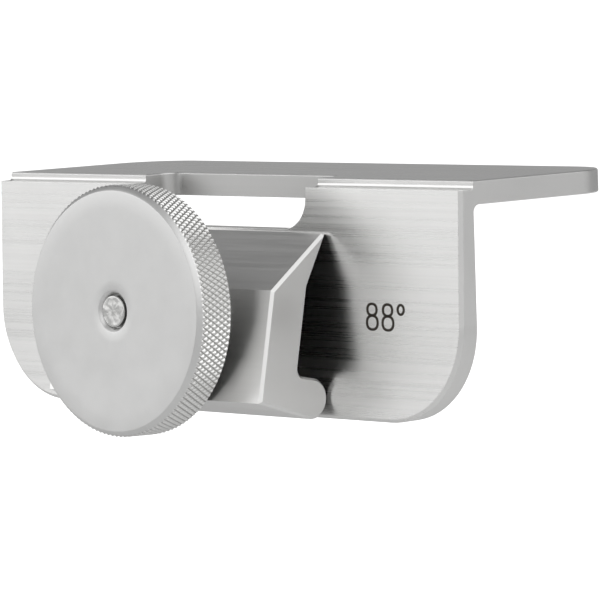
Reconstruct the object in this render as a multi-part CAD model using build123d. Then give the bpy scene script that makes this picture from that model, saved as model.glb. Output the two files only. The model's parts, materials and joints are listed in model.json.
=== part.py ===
from build123d import *
import math
import os

# Side-edge file guide for skis.
#
# An L-shaped stainless body lies with its plate against the ski's base. A flat
# file is clamped across the two ears of the other leg, and stands up past the
# plate, where it meets the ski's side edge at a fixed angle. The clamp is a
# strap: its heel bears on the leg, its toe presses the file, and a thumb wheel
# on a screw between them pulls it in.
#
# Frame: +Z is the outward normal of the plate's outer face, +X runs along the
# guide, and -Y points from the plate to the thumb wheel. The origin is the
# middle of the plate's outer face. Millimetres.

# ---- body ------------------------------------------------------------------
LENGTH = 85.6          # along X
PLATE_T = 3.0          # plate thickness
PLATE_DEPTH = 30.6     # file edge of the body to the back of the plate
LEG_HEIGHT = 30.4      # plate's outer face to the bottom of the leg
LEG_T = 2.4            # leg thickness at the top of the file face
BEVEL_DEG = 2.0        # 90 minus the 88 degree side angle
STEP_H = 1.1           # rebate along the outer corner, for the burr
STEP_D = 2.3
STEP_R = 0.45
EAR_R = 12.4
PLATE_R = 7.6
INSIDE_R = 1.0
FACE_CHAMFER = 0.45
EDGE_BREAK = 0.15

WINDOW_HALF = 15.95    # window across the corner, where file and ski meet
WINDOW_BACK = 7.05
WINDOW_DROP = 6.5
WINDOW_R = 4.0         # lower corners, in the leg
CORNER_R = 2.0         # back corners, in the plate

# ---- clamp -----------------------------------------------------------------
SCREW_D = 4.0
SCREW_DROP = 15.43     # down the file face, from its top edge
SCREW_CLEAR = 0.05
HOLE_CHAMFER = 0.3
TAIL = 3.2             # screw standing out behind the leg
END_SINK = 0.02        # screw end below the wheel's face
END_BREAK = 0.15
TAIL_CHAMFER = 0.3

HEEL_R = 2.6           # full round that bears on the leg
HEEL_GAP = 0.1
HEEL_DROP = 26.61      # heel centre, down the file face
ROCK_DEG = 9.6         # tilt of the closed clamp against the file face

BLOCK_LENGTH = 39.6
BLOCK_FRONT = 9.39     # heel centre to the block's front face
BLOCK_WALL = 3.2       # heel centre to the wall of the file recess
SLOPE_START = 12.65    # heights above the heel centre
SLOPE_TOP = 20.95
TOE_TIP = 20.87
TOE_INSET = 0.93
TOE_LAND = 0.6
RECESS_TOP = 13.9
RECESS_R = 1.0
FRONT_BOTTOM = -1.65
BLOCK_CHAMFER = 0.35
SLOT_W = 4.8           # screw slot, long enough for the rocking
SLOT_LOW = 7.4
SLOT_HIGH = 13.9

WASHER_OUT = 11.15     # washer's inner face, out from the file face
WASHER_T = 0.5
WASHER_R = 4.5
WASHER_BORE_R = 2.1
WASHER_BREAK = 0.08
RUNNING_GAP = 0.02
COLLAR_R = 5.0

WHEEL_R = 16.05
WHEEL_OUT = 18.82      # wheel's outer face, out from the file face
WHEEL_T = 6.05
WHEEL_CHAMFER_R = 0.72
WHEEL_CHAMFER_W = 0.78
POCKET_R = 2.2         # counterbore round the screw's peened end
POCKET_DEPTH = 1.1
POCKET_CHAMFER = 0.45

SPRING_R = 2.9
SPRING_WIRE = 0.6
SPRING_PITCH = 0.95
SPRING_TURNS = 2.75

# ---- derived ---------------------------------------------------------------
FRONT_Y = -(STEP_D + PLATE_DEPTH) / 2
BEVEL = math.radians(BEVEL_DEG)
FACE_TOP = Vector(0, FRONT_Y, -STEP_H)
OUT = Vector(0, -math.cos(BEVEL), math.sin(BEVEL))
DOWN = Vector(0, -math.sin(BEVEL), -math.cos(BEVEL))


def on_face(drop, out=0.0):
    """A point by its distance down the file face and out from it."""
    return FACE_TOP + DOWN * drop + OUT * out


def along_screw(out):
    """A plane across the screw's axis, its normal pointing out of the face."""
    return Plane(origin=on_face(SCREW_DROP, out), x_dir=(1, 0, 0), z_dir=OUT)


def disc(radius, low, high):
    """A round piece on the screw's axis, between two distances out."""
    return extrude(along_screw(low) * Circle(radius), high - low)


def face_y(z):
    """Y of the file face at a height."""
    return FRONT_Y + (z + STEP_H) * math.tan(BEVEL)


def make_body():
    step_y = FRONT_Y + STEP_D
    back_y = FRONT_Y + PLATE_DEPTH
    leg_y = FRONT_Y + LEG_T
    outline = Polyline(
        (FRONT_Y, -STEP_H),
        (step_y, -STEP_H),
        (step_y, 0),
        (back_y, 0),
        (back_y, -PLATE_T),
        (leg_y, -PLATE_T),
        (leg_y, -LEG_HEIGHT),
        (face_y(-LEG_HEIGHT), -LEG_HEIGHT),
        close=True,
    )
    profile = make_face(outline)
    inside = profile.vertices().sort_by_distance((leg_y, -PLATE_T, 0))[0]
    profile = fillet(inside, INSIDE_R)
    foot = profile.vertices().sort_by_distance((step_y, -STEP_H, 0))[0]
    profile = fillet(foot, STEP_R)
    body = extrude(Plane.YZ.offset(-LENGTH / 2) * profile, LENGTH)

    # Ears with round lower corners, and a plate with round back corners.
    tall = Rectangle(LENGTH, 2 * LEG_HEIGHT)
    tall = fillet(tall.vertices().group_by(Axis.Y)[0], EAR_R)
    tall = extrude(Plane.XZ * tall, 2 * LENGTH, both=True)
    wide = Rectangle(LENGTH, 2 * PLATE_DEPTH)
    wide = fillet(wide.vertices().group_by(Axis.Y)[-1], PLATE_R)
    wide = Pos(0, back_y - PLATE_DEPTH, 0) * extrude(wide, LENGTH, both=True)
    body = body & tall & wide

    # Chamfer round the file face, before the window opens it.
    face = body.faces().filter_by(lambda f: f.normal_at().dot(OUT) > 0.9999)
    face = face.sort_by(SortBy.AREA)[-1]
    rim = [e for e in face.edges() if e.center().Z < -STEP_H - 0.1]
    body = chamfer(rim, FACE_CHAMFER)

    window = Box(
        2 * WINDOW_HALF,
        WINDOW_BACK + 5,
        WINDOW_DROP + 2,
        align=(Align.CENTER, Align.MAX, Align.MIN),
    )
    lower = window.edges().filter_by(Axis.Y).group_by(Axis.Z)[0]
    window = Pos(0, FRONT_Y + WINDOW_BACK, -WINDOW_DROP) * fillet(lower, WINDOW_R)
    plan = Rectangle(2 * WINDOW_HALF, 2 * WINDOW_BACK)
    plan = fillet(plan.vertices().group_by(Axis.Y)[-1], CORNER_R)
    window &= Pos(0, FRONT_Y, 0) * extrude(plan, LENGTH, both=True)
    body -= window

    hole_r = SCREW_D / 2 + SCREW_CLEAR
    body -= disc(hole_r, -2 * PLATE_T, PLATE_T)
    mouth = on_face(SCREW_DROP) + Vector(0, LEG_T, 0)
    mouths = body.edges().sort_by_distance(mouth)
    back_mouth = [e for e in mouths if abs(e.center().Y - leg_y) < 0.01][0]
    body = chamfer(back_mouth, HOLE_CHAMFER)

    # Broken edges round the plate's outer face and the leg's back.
    top = body.faces().filter_by(Axis.Z).group_by(Axis.Z)[-1]
    body = chamfer(top.edges(), EDGE_BREAK)
    under = body.faces().filter_by(Axis.Z)
    under = under.filter_by(lambda f: abs(f.center().Z + PLATE_T) < 0.01)
    rim = [
        e for e in under.edges()
        if abs(e.center().X) > WINDOW_HALF + 0.01
        or e.center().Y > FRONT_Y + WINDOW_BACK + 0.01
    ]
    rim = [e for e in rim if e.center().Y > leg_y + INSIDE_R + 0.01]
    return chamfer(rim, EDGE_BREAK)


def make_block():
    """The strap clamp, drawn round its heel centre, then set at its tilt."""
    toe = (-TOE_INSET, TOE_TIP)
    land = (-TOE_INSET - TOE_LAND, SLOPE_TOP)
    # The underside runs from the front edge to touch the heel's round.
    dy, dz = BLOCK_FRONT, -FRONT_BOTTOM
    reach = math.hypot(dy, dz)
    turn = math.atan2(-dz, -dy) + math.acos(HEEL_R / reach)
    touch = (HEEL_R * math.cos(turn), HEEL_R * math.sin(turn))
    sides = Polyline(
        (0, HEEL_R),
        (-BLOCK_WALL, HEEL_R),
        (-BLOCK_WALL, RECESS_TOP),
        toe,
        land,
        (-BLOCK_FRONT, SLOPE_START),
        (-BLOCK_FRONT, FRONT_BOTTOM),
        touch,
    )
    heel = ThreePointArc(touch, (HEEL_R * math.cos(-0.6), HEEL_R * math.sin(-0.6)), (0, HEEL_R))
    profile = make_face(sides + heel)
    corner = profile.vertices().sort_by_distance((-BLOCK_WALL, HEEL_R, 0))[0]
    profile = fillet(corner, RECESS_R)
    block = extrude(Plane.YZ.offset(-BLOCK_LENGTH / 2) * profile, BLOCK_LENGTH)
    ends = block.faces().filter_by(Axis.X)
    block = chamfer(ends.edges(), BLOCK_CHAMFER)

    slot = SlotOverall(SLOT_HIGH - SLOT_LOW, SLOT_W, rotation=90)
    slot = Pos(0, 0, (SLOT_HIGH + SLOT_LOW) / 2) * extrude(Plane.XZ * slot, 40, both=True)
    block -= slot
    place = Pos(*on_face(HEEL_DROP, HEEL_R + HEEL_GAP))
    return place * Rot(X=-(BEVEL_DEG + ROCK_DEG)) * block


def make_wheel():
    """A disc with bevelled rims, and a collar towards the washer."""
    bore = SCREW_D / 2 - 0.02
    back = WHEEL_OUT - WHEEL_T
    collar_face = WASHER_OUT + WASHER_T + RUNNING_GAP
    rim_r = WHEEL_R - WHEEL_CHAMFER_R
    outline = Polyline(
        (bore, collar_face),
        (COLLAR_R, collar_face),
        (COLLAR_R, back),
        (rim_r, back),
        (WHEEL_R, back + WHEEL_CHAMFER_W),
        (WHEEL_R, WHEEL_OUT - WHEEL_CHAMFER_W),
        (rim_r, WHEEL_OUT),
        (POCKET_R + POCKET_CHAMFER, WHEEL_OUT),
        (POCKET_R, WHEEL_OUT - POCKET_CHAMFER),
        (POCKET_R, WHEEL_OUT - POCKET_DEPTH),
        (bore, WHEEL_OUT - POCKET_DEPTH),
        close=True,
    )
    half = Plane.XZ * make_face(outline)
    return along_screw(0).location * revolve(half, Axis.Z)


def make_screw():
    tail = -(LEG_T + (SCREW_DROP * math.sin(BEVEL))) - TAIL
    screw = disc(SCREW_D / 2, tail, WHEEL_OUT - END_SINK)
    peened = screw.edges().filter_by(GeomType.CIRCLE).sort_by(Axis.Y)[0]
    screw = chamfer(peened, END_BREAK)
    free = screw.edges().filter_by(GeomType.CIRCLE).sort_by(Axis.Y)[-1]
    return chamfer(free, TAIL_CHAMFER)


def make_washer():
    washer = disc(WASHER_R, WASHER_OUT, WASHER_OUT + WASHER_T)
    washer -= disc(WASHER_BORE_R, WASHER_OUT - 1, WASHER_OUT + 2)
    return chamfer(washer.edges().filter_by(GeomType.CIRCLE), WASHER_BREAK)


def make_spring():
    start = along_screw(SPRING_WIRE / 2 + 0.05)
    coil = Helix(SPRING_PITCH, SPRING_PITCH * SPRING_TURNS, SPRING_R)
    wire = Plane(origin=coil @ 0, z_dir=coil % 0) * Circle(SPRING_WIRE / 2)
    return start * sweep(wire, path=coil)


os.makedirs("parts", exist_ok=True)
export_step(make_body(), "parts/guide_body.step")
export_step(make_block(), "parts/clamp_block.step")
export_step(make_wheel(), "parts/thumb_wheel.step")
export_step(make_screw(), "parts/clamp_screw.step")
export_step(make_washer(), "parts/thrust_washer.step")
export_step(make_spring(), "parts/return_spring.step")
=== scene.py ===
"""Looks of the ski side-edge file guide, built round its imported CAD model."""

import json
import math

import bpy
import numpy as np
from mathutils import Matrix, Vector, noise


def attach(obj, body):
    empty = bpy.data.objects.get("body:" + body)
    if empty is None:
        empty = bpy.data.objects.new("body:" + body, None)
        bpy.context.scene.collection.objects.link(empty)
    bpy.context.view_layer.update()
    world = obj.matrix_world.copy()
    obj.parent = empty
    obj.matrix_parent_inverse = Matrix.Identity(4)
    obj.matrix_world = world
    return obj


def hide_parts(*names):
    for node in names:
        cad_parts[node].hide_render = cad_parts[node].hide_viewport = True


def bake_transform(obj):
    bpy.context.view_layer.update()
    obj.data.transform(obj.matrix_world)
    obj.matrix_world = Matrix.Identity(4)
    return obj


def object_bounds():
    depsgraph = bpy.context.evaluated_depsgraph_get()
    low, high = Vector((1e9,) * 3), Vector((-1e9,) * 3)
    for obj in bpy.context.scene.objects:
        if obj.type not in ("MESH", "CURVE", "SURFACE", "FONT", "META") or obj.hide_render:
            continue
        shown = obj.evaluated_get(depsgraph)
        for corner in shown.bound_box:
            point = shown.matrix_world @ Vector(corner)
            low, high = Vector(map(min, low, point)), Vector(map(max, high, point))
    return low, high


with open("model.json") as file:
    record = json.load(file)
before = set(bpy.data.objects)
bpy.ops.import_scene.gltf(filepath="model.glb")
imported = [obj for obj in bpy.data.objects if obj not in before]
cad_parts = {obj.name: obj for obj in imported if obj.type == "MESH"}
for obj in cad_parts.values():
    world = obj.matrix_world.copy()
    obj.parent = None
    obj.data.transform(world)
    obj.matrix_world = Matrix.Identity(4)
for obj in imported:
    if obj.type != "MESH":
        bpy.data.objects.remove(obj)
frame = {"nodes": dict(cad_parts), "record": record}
cad_low, cad_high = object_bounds()

MM = 0.001

# ---- sizes, in millimetres ---------------------------------------------------
# Places along the screw are distances out from the file face.
SCREW_R = 2.0
SCREW_DROP = 15.43         # screw's axis, down the file face
TAIL_END = -6.139
SCREW_END = 18.8
THREAD_PITCH = 0.7
THREAD_ROOT = 1.58
THREAD_PLAY = 0.02         # thread's crests and the end below the CAD's faces
THREAD_END = 11.3
END_ROUND = 0.14           # round edge of the peened end
DENTS = (                  # number in a millimetre, layer of the noise, depth
    (1.6, 0.3, 0.035),
    (4.5, 4.1, 0.02),
)

WHEEL_R = 16.05
WHEEL_OUT = 18.82
WHEEL_T = 6.05
CHAMFER_R = 0.72
CHAMFER_W = 0.78
COLLAR_R = 5.0
COLLAR_FACE = 11.67
POCKET_R = 2.2
POCKET_DEPTH = 1.1
POCKET_CHAMFER = 0.45
BORE_R = 1.98

KNURL_TEETH = 132          # diamonds round the rim
KNURL_CELLS = 7            # half diamonds across it, for grooves at 30 degrees
KNURL_DEPTH = 0.2
KNURL_FLAT = 0.75          # share of the flank left below the flat tip
OFF_KNURL = 2.0            # stands for a height where there is no knurl
CHAMFER_STEPS = (0.1, 0.3, 0.48, 0.56, 0.63, 0.71)   # rings on the rim's chamfers

SPRING_R = 2.9
WIRE_R = 0.3
SPRING_START = 0.35
SPRING_RISE = 2.6
SPRING_TURNS = 2.75
CLOSED_SHARE = 0.16        # of the wire, in the closed coil at each end
CLOSED_SLOPE = 0.35        # share of the rise that is even along the wire

WINDOW = ((-15.98, -16.4, -6.52), (15.98, -9.37, -0.16))   # opening across the corner

MARK_FIRST = 27.55         # middle of the first digit, along the guide
MARK_TOP = 14.26           # down the file face
MARK_STROKE = (0.4, 0.33)  # upright and level strokes
DIGIT_STEP = 2.7
DIGIT_LOOPS = (            # place across and down, half width and height, squareness
    (0.0, 0.89, 0.79, 0.72, 2.3),
    (0.05, 2.53, 0.92, 0.87, 2.3),
)
DEGREE_LOOP = (4.96, 0.76, 0.52, 0.6, 2.0)
MARK_PROUD = 0.012
MARK_SUNK = -0.03

# ---- the screw's own frame ---------------------------------------------------
joints = {j["name"]: j for j in frame["record"]["behaviour"]["joints"]}
SCREW = Vector(joints["wheel_turn"]["pos_m"])
OUT = Vector(joints["wheel_turn"]["axis"]).normalized()
SIDE = Vector((1, 0, 0))
UP = OUT.cross(SIDE)


def on_screw(radius, angle, out):
    """Points in metres from distances round the screw's axis in millimetres."""
    radius, angle, out = np.broadcast_arrays(radius, angle, out)
    across = radius * np.cos(angle)
    above = radius * np.sin(angle)
    axes = np.array([SIDE, UP, OUT])
    return np.array(SCREW) + MM * (np.stack([across, above, out], -1) @ axes)


# ---- meshes ------------------------------------------------------------------
def new_piece(name, points, faces, sharp_deg=30):
    """An object from points and faces, smooth except across sharp edges."""
    mesh = bpy.data.meshes.new(name)
    mesh.from_pydata([tuple(p) for p in points], [], faces)
    mesh.validate()
    mesh.shade_smooth()
    mesh.set_sharp_from_angle(angle=math.radians(sharp_deg))
    piece = bpy.data.objects.new(name, mesh)
    bpy.context.scene.collection.objects.link(piece)
    return piece


def tube_faces(rows, columns, joined=False, slant=None):
    """Faces of a grid closed round its columns, and along its rows if joined.

    slant(row, column) is True or False where a cell is cut into triangles
    along one diagonal or the other, and None where it stays whole.
    """
    faces = []
    for row in range(rows if joined else rows - 1):
        low = row * columns
        high = ((row + 1) % rows) * columns
        for column in range(columns):
            right = (column + 1) % columns
            a, b = low + column, low + right
            c, d = high + right, high + column
            cut = slant(row, column) if slant else None
            if cut is None:
                faces.append((a, b, c, d))
            elif cut:
                faces += [(a, b, c), (a, c, d)]
            else:
                faces += [(a, b, d), (b, c, d)]
    return faces


def cap_faces(first, columns, centre, flip):
    """A fan that closes the end of a tube on a centre point."""
    faces = []
    for column in range(columns):
        a, b = first + column, first + (column + 1) % columns
        faces.append((b, a, centre) if flip else (a, b, centre))
    return faces


def cell_steps(cells):
    """Grid lines through half diamonds: their ends, and the edges of the flats."""
    shares = (0.0, 1 - KNURL_FLAT, KNURL_FLAT)
    return [cell + share for cell in range(cells) for share in shares]


def knurl_height(around, across):
    """0 in a groove and 1 on a flat tip, from counts of half diamonds."""
    one = (around + across) / 2
    two = (around - across) / 2
    away = [2 * np.abs(t - np.round(t)) for t in (one, two)]
    return np.minimum(np.minimum(away[0], away[1]) / KNURL_FLAT, 1)


def make_wheel():
    """The thumb wheel: counterbored face, knurled rim, and collar behind."""
    around = np.array(cell_steps(2 * KNURL_TEETH))
    angles = around * math.pi / KNURL_TEETH
    columns = len(angles)
    band = WHEEL_T - 2 * CHAMFER_W
    half = band / KNURL_CELLS
    lattice = [CHAMFER_W + half * c for c in cell_steps(KNURL_CELLS)]
    depths = [*CHAMFER_STEPS, *lattice, WHEEL_T - CHAMFER_W]
    depths += [WHEEL_T - step for step in CHAMFER_STEPS[::-1]]

    rim_r = WHEEL_R - CHAMFER_R
    rows = []
    tall = []

    def ring(radius, out):
        rows.append((np.full(columns, radius), np.full(columns, out)))
        tall.append(np.full(columns, OFF_KNURL))

    # From the counterbore round its soft mouth and over the face to the rim.
    ring(BORE_R, WHEEL_OUT - POCKET_DEPTH)
    ring(POCKET_R, WHEEL_OUT - POCKET_DEPTH)
    mouth_r = POCKET_R + POCKET_CHAMFER
    ring(POCKET_R, WHEEL_OUT - POCKET_CHAMFER - 0.02)
    ring(POCKET_R + 0.03, WHEEL_OUT - POCKET_CHAMFER + 0.03)
    ring(mouth_r - 0.06, WHEEL_OUT - 0.07)
    ring(mouth_r + 0.02, WHEEL_OUT - 0.015)
    ring(mouth_r + 0.1, WHEEL_OUT)
    for radius in (4.0, 7.0, 10.0, 13.0, rim_r - 0.12):
        ring(radius, WHEEL_OUT)
    ring(rim_r - 0.02, WHEEL_OUT - 0.012)
    first_knurled = len(rows)
    for depth in depths:
        edge = min(depth, WHEEL_T - depth)
        cone = rim_r + CHAMFER_R * edge / CHAMFER_W
        height = knurl_height(around, (depth - CHAMFER_W) / half)
        crest = WHEEL_R - KNURL_DEPTH * (1 - height)
        rows.append((np.minimum(cone, crest), np.full(columns, WHEEL_OUT - depth)))
        tall.append(np.where(crest < cone + 0.01, height, OFF_KNURL))
    last_knurled = len(rows) - 1

    # The back, the collar and its running face.
    back = WHEEL_OUT - WHEEL_T
    ring(rim_r - 0.02, back + 0.012)
    ring(rim_r - 0.12, back)
    ring(COLLAR_R + 0.35, back)
    ring(COLLAR_R + 0.1, back - 0.1)
    ring(COLLAR_R, back - 0.35)
    ring(COLLAR_R, COLLAR_FACE + 0.25)
    ring(COLLAR_R - 0.25, COLLAR_FACE)
    ring(BORE_R, COLLAR_FACE)

    radii, outs = (np.array(values) for values in zip(*rows))
    points = on_screw(radii, angles[None, :], outs).reshape(-1, 3)

    start = first_knurled + len(CHAMFER_STEPS)
    end = start + len(lattice)

    def slant(row, column):
        """Cuts each cell of the knurl along the groove that crosses it."""
        if not first_knurled <= row < last_knurled:
            return None
        across = (row - start) // 3
        return (column // 3 + across) % 2 == 0 if start <= row < end else None

    faces = tube_faces(len(rows), columns, joined=True, slant=slant)
    wheel = new_piece("knurled_wheel", points, faces, sharp_deg=18)
    # 1 at the bottom of a groove, 0 on a flat tip and -1 off the knurl.
    groove = wheel.data.attributes.new("groove", "FLOAT", "POINT")
    groove.data.foreach_set("value", 1 - np.array(tall, np.float32).ravel())
    return wheel


def thread_radius(turns):
    """Radius of a 60 degree thread, flat for 1/8 of its pitch at the crest and 1/4 at the root."""
    share = np.abs(turns - np.round(turns)) * 2
    crest, root = 1 / 8, 1 - 1 / 4
    fall = np.clip((share - crest) / (root - crest), 0, 1)
    top = SCREW_R - THREAD_PLAY
    return top + (THREAD_ROOT - top) * fall


def make_screw():
    """The clamp screw: threaded shank, and an end peened into the wheel."""
    columns = 72
    angles = np.arange(columns) * 2 * math.pi / columns
    rows = []
    steps = int((THREAD_END - TAIL_END) / (THREAD_PITCH / 10))
    for out in np.linspace(TAIL_END, THREAD_END, steps):
        radius = thread_radius(out / THREAD_PITCH - angles / (2 * math.pi))
        lead_in = THREAD_ROOT - 0.15 + (out - TAIL_END)
        rows.append((np.minimum(radius, lead_in), out))
    full = np.full(columns, SCREW_R)
    rows.append((full, THREAD_END + 0.1))
    rows.append((full, SCREW_END - END_ROUND - 0.1))
    first_struck = len(rows) + 2
    for angle in (0, 20, 40, 60, 80):
        turn = math.radians(angle)
        drop = END_ROUND * (1 - math.sin(turn))
        rows.append((full - END_ROUND * (1 - math.cos(turn)), SCREW_END - drop - THREAD_PLAY))
    for radius in (1.8, 1.7, 1.55, 1.4, 1.2, 1.0, 0.8, 0.6, 0.4, 0.2):
        rows.append((np.full(columns, radius), SCREW_END - THREAD_PLAY))
    radii = np.array([r for r, _ in rows])
    outs = np.array([np.full(columns, o) for _, o in rows])

    # Dents from the hammer, only on the end.
    for row in range(first_struck, len(rows)):
        for column in range(columns):
            x = radii[row, column] * math.cos(angles[column])
            y = radii[row, column] * math.sin(angles[column])
            for density, layer, depth in DENTS:
                outs[row, column] += depth * noise.noise(Vector((x, y, layer)) * density)
    points = on_screw(radii, angles[None, :], outs).reshape(-1, 3)
    tail = on_screw(0.0, 0.0, TAIL_END)
    head = on_screw(0.0, 0.0, SCREW_END)
    points = np.vstack([points, tail, head])
    count = len(rows) * columns
    faces = tube_faces(len(rows), columns)
    faces += cap_faces(0, columns, count, flip=True)
    faces += cap_faces(count - columns, columns, count + 1, flip=False)
    return new_piece("threaded_screw", points, faces, sharp_deg=28)


def make_spring():
    """A short compression spring with its end coils closed."""
    steps, sides = 132, 14
    share = np.linspace(0, 1, steps)
    turn = 2 * math.pi * SPRING_TURNS * share
    rise = np.clip((share - CLOSED_SHARE) / (1 - 2 * CLOSED_SHARE), 0, 1)
    rise = CLOSED_SLOPE * share + (1 - CLOSED_SLOPE) * rise * rise * (3 - 2 * rise)
    line = on_screw(SPRING_R, turn, SPRING_START + SPRING_RISE * rise)
    along = np.gradient(line, axis=0)
    along /= np.linalg.norm(along, axis=1)[:, None]
    outward = line - on_screw(0.0, 0.0, SPRING_START + SPRING_RISE * rise)
    outward /= np.linalg.norm(outward, axis=1)[:, None]
    upward = np.cross(along, outward)
    ring = np.arange(sides) * 2 * math.pi / sides
    wire = line[:, None] + MM * WIRE_R * (
        outward[:, None] * np.cos(ring)[None, :, None]
        + upward[:, None] * np.sin(ring)[None, :, None]
    )
    points = np.vstack([wire.reshape(-1, 3), line[0], line[-1]])
    count = steps * sides
    faces = tube_faces(steps, sides)
    faces += cap_faces(0, sides, count, flip=True)
    faces += cap_faces(count - sides, sides, count + 1, flip=False)
    return new_piece("spring_coil", points, faces, sharp_deg=50)


def on_file_face(along, drop, proud):
    """A point in metres by its place on the file face, in millimetres."""
    top = SCREW + UP * MM * SCREW_DROP
    return top + MM * (SIDE * along - UP * drop + OUT * proud)


def make_mark():
    """The angle, marked in plain strokes: each 8 is two loops, then a ring."""
    loops = [(DIGIT_STEP * digit, loop) for digit in range(2) for loop in DIGIT_LOOPS]
    loops.append((0.0, DEGREE_LOOP))
    points, faces = [], []
    steps = 48
    for place, (shift, down, half_w, half_h, power) in loops:
        across = MARK_FIRST + place + shift
        drop = MARK_TOP + down
        first = len(points)
        for side, proud in ((1, MARK_SUNK), (1, MARK_PROUD), (-1, MARK_PROUD), (-1, MARK_SUNK)):
            for step in range(steps):
                angle = 2 * math.pi * step / steps
                c, s = math.cos(angle), math.sin(angle)
                reach_x = half_w + side * MARK_STROKE[0] / 2
                reach_y = half_h + side * MARK_STROKE[1] / 2
                x = reach_x * math.copysign(abs(c) ** (2 / power), c)
                y = reach_y * math.copysign(abs(s) ** (2 / power), s)
                points.append(on_file_face(across + x, drop - y, proud))
        ring = tube_faces(4, steps, joined=True)
        faces += [tuple(first + i for i in face) for face in ring]
    return new_piece("angle_mark", points, faces, sharp_deg=40)


# ---- materials ---------------------------------------------------------------
GROUND_EDGE = 0.1          # radius of worn edges, which also get a painted highlight
SATIN_EDGE = 0.08
EDGE_PAINTED_HIGHLIGHT = 0.5           # how far edges are painted lighter, as a painted highlight, and made smoother
WORN_ROUGH = -0.06
WINDOW_WALL_TONE = 0.7             # the window's walls, against the ground faces
CUT_ROUGH = 0.12
# lighter knurl: partly the metal's own tone, partly painted light
KNURL_TONE_AND_PAINTED_LIGHT = (0.82, 0.82, 0.81)
KNURL_ROUGH = 0.28
# painted shade for the bottoms of the knurl's grooves
GROOVE_PAINTED_SHADE = (0.35, 0.345, 0.335)
NEVER_ZERO = (0, 0.003, 0.01)   # keeps a direction on faces that have no lines


class Nodes:
    """The node tree of a material or a world, emptied to be put together."""

    def __init__(self, owner):
        owner.use_nodes = True
        self.tree = owner.node_tree
        self.tree.nodes.clear()

    def add(self, kind, values=None, **settings):
        """A node with its settings, and values or links for its inputs."""
        node = self.tree.nodes.new(kind)
        for key, value in settings.items():
            setattr(node, key, value)
        for key, value in (values or {}).items():
            if isinstance(value, bpy.types.NodeSocket):
                self.link(value, node.inputs[key])
            else:
                node.inputs[key].default_value = value
        return node

    def link(self, start, end):
        """Links an output to an input."""
        self.tree.links.new(start, end)

    def span(self, value, low, high, start=0.3, stop=0.7, shape="LINEAR"):
        """A value between start and stop mapped to low and high."""
        values = {"Value": value, "From Min": start, "From Max": stop, "To Min": low, "To Max": high}
        return self.add("ShaderNodeMapRange", values, interpolation_type=shape).outputs["Result"]

    def sum(self, one, two, kind="ADD"):
        """Two numbers added, or put through another operation."""
        return self.add("ShaderNodeMath", {0: one, 1: two}, operation=kind).outputs[0]

    def combine(self, one, two, kind):
        """One of the vector operations, as the node."""
        return self.add("ShaderNodeVectorMath", {0: one, 1: two}, operation=kind)

    def tint(self, value, start, end):
        """A colour between two, from a value of 0 to 1."""
        colours = {}
        for key, colour in ((6, start), (7, end)):
            colours[key] = colour if isinstance(colour, bpy.types.NodeSocket) else (*colour, 1)
        return self.add("ShaderNodeMix", {0: value, **colours}, data_type="RGBA").outputs[2]


class Steel(Nodes):
    """A steel shader being put together from procedural nodes."""

    def __init__(self, name):
        self.material = bpy.data.materials.new(name)
        super().__init__(self.material)
        self.surface = self.add("ShaderNodeBsdfPrincipled")
        self.surface.inputs["Metallic"].default_value = 1.0
        output = self.add("ShaderNodeOutputMaterial")
        self.link(self.surface.outputs["BSDF"], output.inputs["Surface"])
        coordinates = self.add("ShaderNodeTexCoord").outputs
        self.place = coordinates["Object"]
        self.turned = coordinates["Normal"]
        self.facing = self.add("ShaderNodeNewGeometry").outputs["Normal"]

    def grain(self, size, detail=2.0, rough=0.5):
        """Noise whose features have this size in millimetres along each axis."""
        scale = [1 / (MM * s) for s in size]
        mapped = self.add("ShaderNodeMapping", {"Vector": self.place, "Scale": scale})
        values = {"Vector": mapped.outputs[0], "Scale": 1.0, "Detail": detail, "Roughness": rough}
        return self.add("ShaderNodeTexNoise", values).outputs["Fac"]

    def part(self, vector, axis):
        """The X, Y or Z part of a vector."""
        return self.add("ShaderNodeSeparateXYZ", {0: vector}).outputs[axis]

    def within(self, low, high):
        """1 inside a box between two corners in millimetres, and 0 outside."""
        inside = 1.0
        for axis in range(3):
            middle = MM * (low[axis] + high[axis]) / 2
            half = MM * (high[axis] - low[axis]) / 2
            values = {0: self.part(self.place, axis), 1: middle, 2: half}
            near = self.add("ShaderNodeMath", values, operation="COMPARE").outputs[0]
            inside = self.sum(inside, near, "MULTIPLY")
        return inside

    def edges(self, radius, start=0.02, stop=0.2):
        """1 on edges of this radius in millimetres, and 0 away from them."""
        soft = self.add("ShaderNodeBevel", {"Radius": MM * radius}, samples=6).outputs[0]
        same = self.combine(soft, self.facing, "DOT_PRODUCT").outputs["Value"]
        away = self.sum(1.0, same, "SUBTRACT")
        return soft, self.span(away, 0.0, 1.0, start, stop)

    def bump(self, height, depth, normal=None, strength=1.0):
        """A surface raised by up to a depth in millimetres."""
        values = {"Height": height, "Distance": MM * depth, "Strength": strength}
        if normal is not None:
            values["Normal"] = normal
        return self.add("ShaderNodeBump", values).outputs["Normal"]

    def brush(self, amount):
        """Stretches reflections across lines that run along the guide."""
        across = self.combine(self.facing, SIDE, "CROSS_PRODUCT").outputs[0]
        across = self.combine(across, NEVER_ZERO, "ADD").outputs[0]
        self.link(across, self.surface.inputs["Tangent"])
        self.surface.inputs["Anisotropic"].default_value = amount

    def finish(self, colour, roughness, normal):
        """Links the surface's colour, roughness and normal."""
        self.link(colour, self.surface.inputs["Base Color"])
        self.link(roughness, self.surface.inputs["Roughness"])
        self.link(normal, self.surface.inputs["Normal"])
        return self.material


def shade(tone, share):
    """A tone made darker or lighter, and still no brighter than white."""
    return [min(1.0, t * share) for t in tone]


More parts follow.
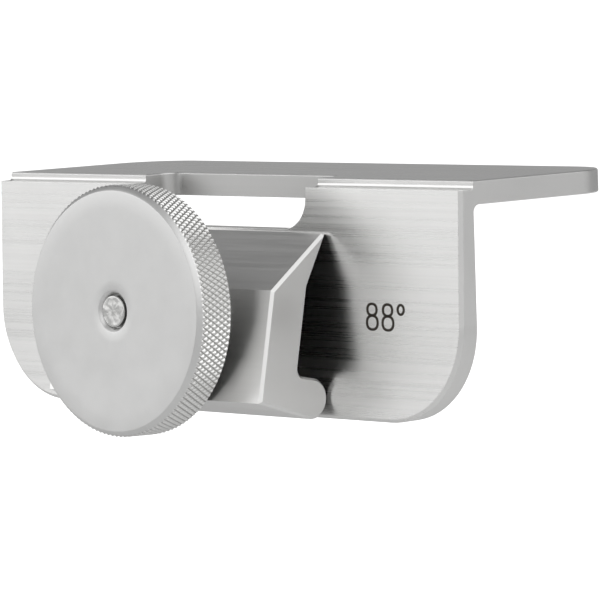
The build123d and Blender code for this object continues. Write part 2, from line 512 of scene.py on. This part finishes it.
def ground_steel(name, tone, rough, grain, line_depth, contrast, brushed, cut=None, back=None):
    """Steel ground along the guide: fine lines, a few longer ones, ends without lines.

    grain is the size of a line, in millimetres along each axis. cut is the
    low and high corner of a box, in millimetres, inside which the colour is
    darker and the surface rougher. back is the tone, against the rest, of
    faces turned towards the plate: painted shade for the dark gap there.
    """
    steel = Steel(name)
    steel.brush(brushed)
    fine = steel.grain(grain, detail=3.0, rough=0.6)
    long = steel.grain([g * 5.0 for g in grain], detail=2.0, rough=0.55)
    cloud = steel.grain((9, 9, 9), detail=3.0)
    soft, worn_and_highlit = steel.edges(GROUND_EDGE)
    endwise = steel.add("ShaderNodeMath", {0: steel.part(steel.facing, 0)}, operation="ABSOLUTE").outputs[0]
    lined = steel.span(endwise, 1.0, 0.05, 0.15, 0.6)

    streak = steel.sum(steel.span(long, -0.5, 0.5), lined, "MULTIPLY")
    streak = steel.sum(streak, steel.span(cloud, -0.35, 0.35))
    light = steel.span(streak, 0.0, 1.0, -0.8, 0.8)
    # painted highlight: worn edges are given a lighter colour
    light = steel.sum(light, steel.sum(worn_and_highlit, EDGE_PAINTED_HIGHLIGHT, "MULTIPLY"))
    colour = steel.tint(light, shade(tone, 1 - contrast), shade(tone, 1 + contrast))
    uneven = steel.sum(steel.span(long, -0.035, 0.035), steel.span(fine, -0.03, 0.03))
    roughness = steel.sum(rough, steel.sum(uneven, lined, "MULTIPLY"))
    roughness = steel.sum(roughness, steel.sum(worn_and_highlit, WORN_ROUGH, "MULTIPLY"))
    if cut:
        # inside the window box the colour is darker and the surface rougher
        inside_window = steel.within(*cut)
        colour = steel.tint(inside_window, colour, shade(tone, WINDOW_WALL_TONE))
        roughness = steel.sum(roughness, steel.sum(inside_window, CUT_ROUGH, "MULTIPLY"))
    # painted shade: faces turned towards the plate are darkened
    if back:
        behind = steel.span(steel.part(steel.turned, 1), 0.0, 1.0, 0.3, 0.5)
        colour = steel.tint(behind, colour, shade(tone, back))

    normal = steel.bump(fine, line_depth, soft, lined)
    normal = steel.bump(long, line_depth * 1.5, normal, lined)
    return steel.finish(colour, roughness, normal)


def satin_steel(name, tone, rough, groove=None):
    """Turned or tumbled steel: soft mottling and a very fine even texture.

    groove names a mesh attribute: 1 at the bottom of a knurl's groove, 0 on
    a tip, and -1 where there is no knurl.
    """
    steel = Steel(name)
    fine = steel.grain((0.09, 0.09, 0.09), detail=2.0)
    cloud = steel.grain((3.5, 3.5, 3.5), detail=3.0, rough=0.55)
    soft, worn_and_highlit = steel.edges(SATIN_EDGE)
    # painted highlight: edges are given a lighter colour
    light = steel.sum(steel.span(cloud, 0.2, 0.8), steel.sum(worn_and_highlit, EDGE_PAINTED_HIGHLIGHT, "MULTIPLY"))
    colour = steel.tint(light, shade(tone, 0.96), shade(tone, 1.04))
    roughness = steel.sum(steel.span(cloud, rough - 0.03, rough + 0.03), steel.span(fine, -0.03, 0.03))
    if groove:
        level = steel.add("ShaderNodeAttribute", attribute_name=groove).outputs["Fac"]
        rim = steel.span(level, 0.0, 1.0, -0.6, -0.1)
        # painted shade: the bottoms of the knurl's grooves are darkened
        bottom = steel.span(level, 0.0, 1.0, 0.6, 1.0)
        # the knurled band is lighter: partly its own tone, partly painted light
        colour = steel.tint(rim, colour, KNURL_TONE_AND_PAINTED_LIGHT)
        colour = steel.tint(bottom, colour, GROOVE_PAINTED_SHADE)
        roughness = steel.sum(roughness, steel.sum(rim, KNURL_ROUGH - rough, "MULTIPLY"))
    normal = steel.bump(fine, 0.0012, soft)
    return steel.finish(colour, roughness, normal)


def marked_steel(name):
    """The dark oxide of a laser mark."""
    steel = Steel(name)
    steel.surface.inputs["Metallic"].default_value = 0.35
    speck = steel.grain((0.12, 0.12, 0.12), detail=3.0)
    colour = steel.tint(speck, (0.012, 0.009, 0.006), (0.05, 0.04, 0.03))
    roughness = steel.span(speck, 0.45, 0.65)
    return steel.finish(colour, roughness, steel.bump(speck, 0.004))


def paint(piece, material):
    """Puts one material on every slot of a piece."""
    if not piece.material_slots:
        piece.data.materials.append(material)
    for slot in piece.material_slots:
        slot.material = material


body_steel = ground_steel(
    "ground_stainless",
    tone=(0.76, 0.758, 0.75),
    rough=0.29,
    grain=(40.0, 0.1, 0.1),
    line_depth=0.0006,
    contrast=0.05,
    brushed=0.45,
    cut=WINDOW,
)
block_steel = ground_steel(
    "milled_stainless",
    tone=(0.79, 0.788, 0.78),
    rough=0.36,
    grain=(5.0, 0.12, 0.12),
    line_depth=0.0006,
    contrast=0.025,
    brushed=0.2,
    # painted shade on the faces turned towards the plate
    back=0.3,
)
wheel_steel = satin_steel("satin_stainless", (0.65, 0.65, 0.645), 0.4, groove="groove")
screw_steel = satin_steel("turned_steel", (0.6, 0.6, 0.59), 0.3)
washer_steel = satin_steel("tumbled_steel", (0.6, 0.6, 0.6), 0.32)
spring_steel = satin_steel("spring_wire", (0.45, 0.45, 0.46), 0.28)

nodes = frame["nodes"]
paint(nodes["guide_body"], body_steel)
paint(nodes["clamp_block"], block_steel)
paint(nodes["thrust_washer"], washer_steel)

wheel = make_wheel()
paint(wheel, wheel_steel)
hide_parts("thumb_wheel")
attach(wheel, "wheel")

screw = make_screw()
paint(screw, screw_steel)
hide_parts("clamp_screw")
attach(screw, "wheel")

spring = make_spring()
paint(spring, spring_steel)
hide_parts("return_spring")
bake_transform(spring)

mark = make_mark()
paint(mark, marked_steel("laser_mark"))
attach(mark, "body")


# ---- floor, light and camera -------------------------------------------------
WALL, CEILING = 0.46, 0.17
PANELS = (                 # azimuth, elevation, core and edge radius, strength
    (-45, 16, 28, 50, 1.13),
    (45, 33, 20, 40, 0.75),
    (94, 56, 25, 55, 0.7),
    (114, 12, 26, 50, 0.65),
)
FLOOR_R = 8.0
FLOOR_TONE = 0.4
GLOW_POOLS = (                  # floor patches that glow, painted pools of light: azimuth, distance, radius, strength
    (-45, 1.5, 1.2, 0.5),
    (0, 0.0, 0.32, 0.38),
)
FLOOR_WHITE = 0.9          # added for the camera
VIEW = (44.81, 4.66, -1.94)     # yaw, downward pitch and roll, in degrees
TARGET = Vector((14.355, -16.45, -15.519)) * MM
VIEW_DISTANCE = 0.5561
LENS = 261.2
SENSOR = 36.0


def make_floor():
    """A wide pale floor, white to the camera, that can be looked through from below."""
    sides = 128
    turns = [2 * math.pi * i / sides for i in range(sides)]
    z = cad_low.z - 0.0001
    rim = [(FLOOR_R * math.cos(t), FLOOR_R * math.sin(t), z) for t in turns]
    mesh = bpy.data.meshes.new("floor")
    mesh.from_pydata(rim, [], [tuple(range(sides))])
    floor = bpy.data.objects.new("floor", mesh)
    bpy.context.scene.collection.objects.link(floor)
    material = bpy.data.materials.new("pale_floor")
    nodes = Nodes(material)
    matt = nodes.add("ShaderNodeBsdfDiffuse", {"Color": (FLOOR_TONE, FLOOR_TONE, FLOOR_TONE, 1)})
    place = nodes.add("ShaderNodeNewGeometry").outputs["Position"]
    # painted pools of light: these parts of the floor glow for every ray and light the object from below
    lit = 0.0
    for azimuth, distance, radius, strength in GLOW_POOLS:
        middle = toward(azimuth, 0) * distance
        away = nodes.combine(place, middle, "DISTANCE").outputs["Value"]
        lit = nodes.sum(nodes.span(away, 0.0, strength, radius, 0.0, "SMOOTHSTEP"), lit)
    seen = nodes.add("ShaderNodeLightPath").outputs["Is Camera Ray"]
    white = nodes.add("ShaderNodeMath", {0: seen, 1: FLOOR_WHITE, 2: lit}, operation="MULTIPLY_ADD")
    glow = nodes.add("ShaderNodeEmission", {"Strength": white.outputs[0]})
    above = nodes.add("ShaderNodeAddShader", {0: matt.outputs[0], 1: glow.outputs[0]})
    clear = nodes.add("ShaderNodeBsdfTransparent")
    below = nodes.add("ShaderNodeNewGeometry").outputs["Backfacing"]
    both = nodes.add("ShaderNodeMixShader", {0: below, 1: above.outputs[0], 2: clear.outputs[0]})
    output = nodes.add("ShaderNodeOutputMaterial")
    nodes.link(both.outputs[0], output.inputs[0])
    mesh.materials.append(material)


def toward(azimuth, elevation):
    """The direction of a place in the studio; azimuth 0 is in front, 90 on the right."""
    a, e = math.radians(azimuth), math.radians(elevation)
    return Vector((math.sin(a) * math.cos(e), -math.cos(a) * math.cos(e), math.sin(e)))


def make_world():
    """A white studio: grey walls, darker overhead, with soft lit panels on them."""
    world = bpy.data.worlds.new("studio")
    nodes = Nodes(world)
    place = nodes.add("ShaderNodeTexCoord").outputs["Generated"]
    height = nodes.add("ShaderNodeSeparateXYZ", {0: place}).outputs["Z"]
    light = nodes.span(height, WALL, CEILING, 0.05, 0.6)
    for azimuth, elevation, core, edge, strength in PANELS:
        cosine = nodes.combine(place, toward(azimuth, elevation), "DOT_PRODUCT").outputs["Value"]
        start, stop = (math.cos(math.radians(angle)) for angle in (edge, core))
        panel = nodes.span(cosine, 0.0, strength, start, stop, "SMOOTHSTEP")
        light = nodes.sum(light, panel)
    background = nodes.add("ShaderNodeBackground", {"Color": (1, 1, 1, 1), "Strength": light})
    output = nodes.add("ShaderNodeOutputWorld")
    nodes.link(background.outputs[0], output.inputs[0])
    bpy.context.scene.world = world


def make_camera():
    """A long lens in front on the right, looking slightly down."""
    yaw, pitch, roll = (math.radians(angle) for angle in VIEW)
    forward = Vector((-math.sin(yaw) * math.cos(pitch), math.cos(yaw) * math.cos(pitch), -math.sin(pitch)))
    right = forward.cross(Vector((0, 0, 1))).normalized()
    up = right.cross(forward)
    across = right * math.cos(roll) + up * math.sin(roll)
    above = up * math.cos(roll) - right * math.sin(roll)
    data = bpy.data.cameras.new("camera")
    data.sensor_width = SENSOR
    data.lens = LENS
    data.clip_start, data.clip_end = 0.01, 100.0
    camera = bpy.data.objects.new("camera", data)
    turn = Matrix((across, above, -forward)).transposed().to_4x4()
    camera.matrix_world = Matrix.Translation(TARGET - forward * VIEW_DISTANCE) @ turn
    bpy.context.scene.collection.objects.link(camera)
    bpy.context.scene.camera = camera


make_floor()
make_world()
make_camera()
bpy.context.scene.view_settings.view_transform = "Standard"
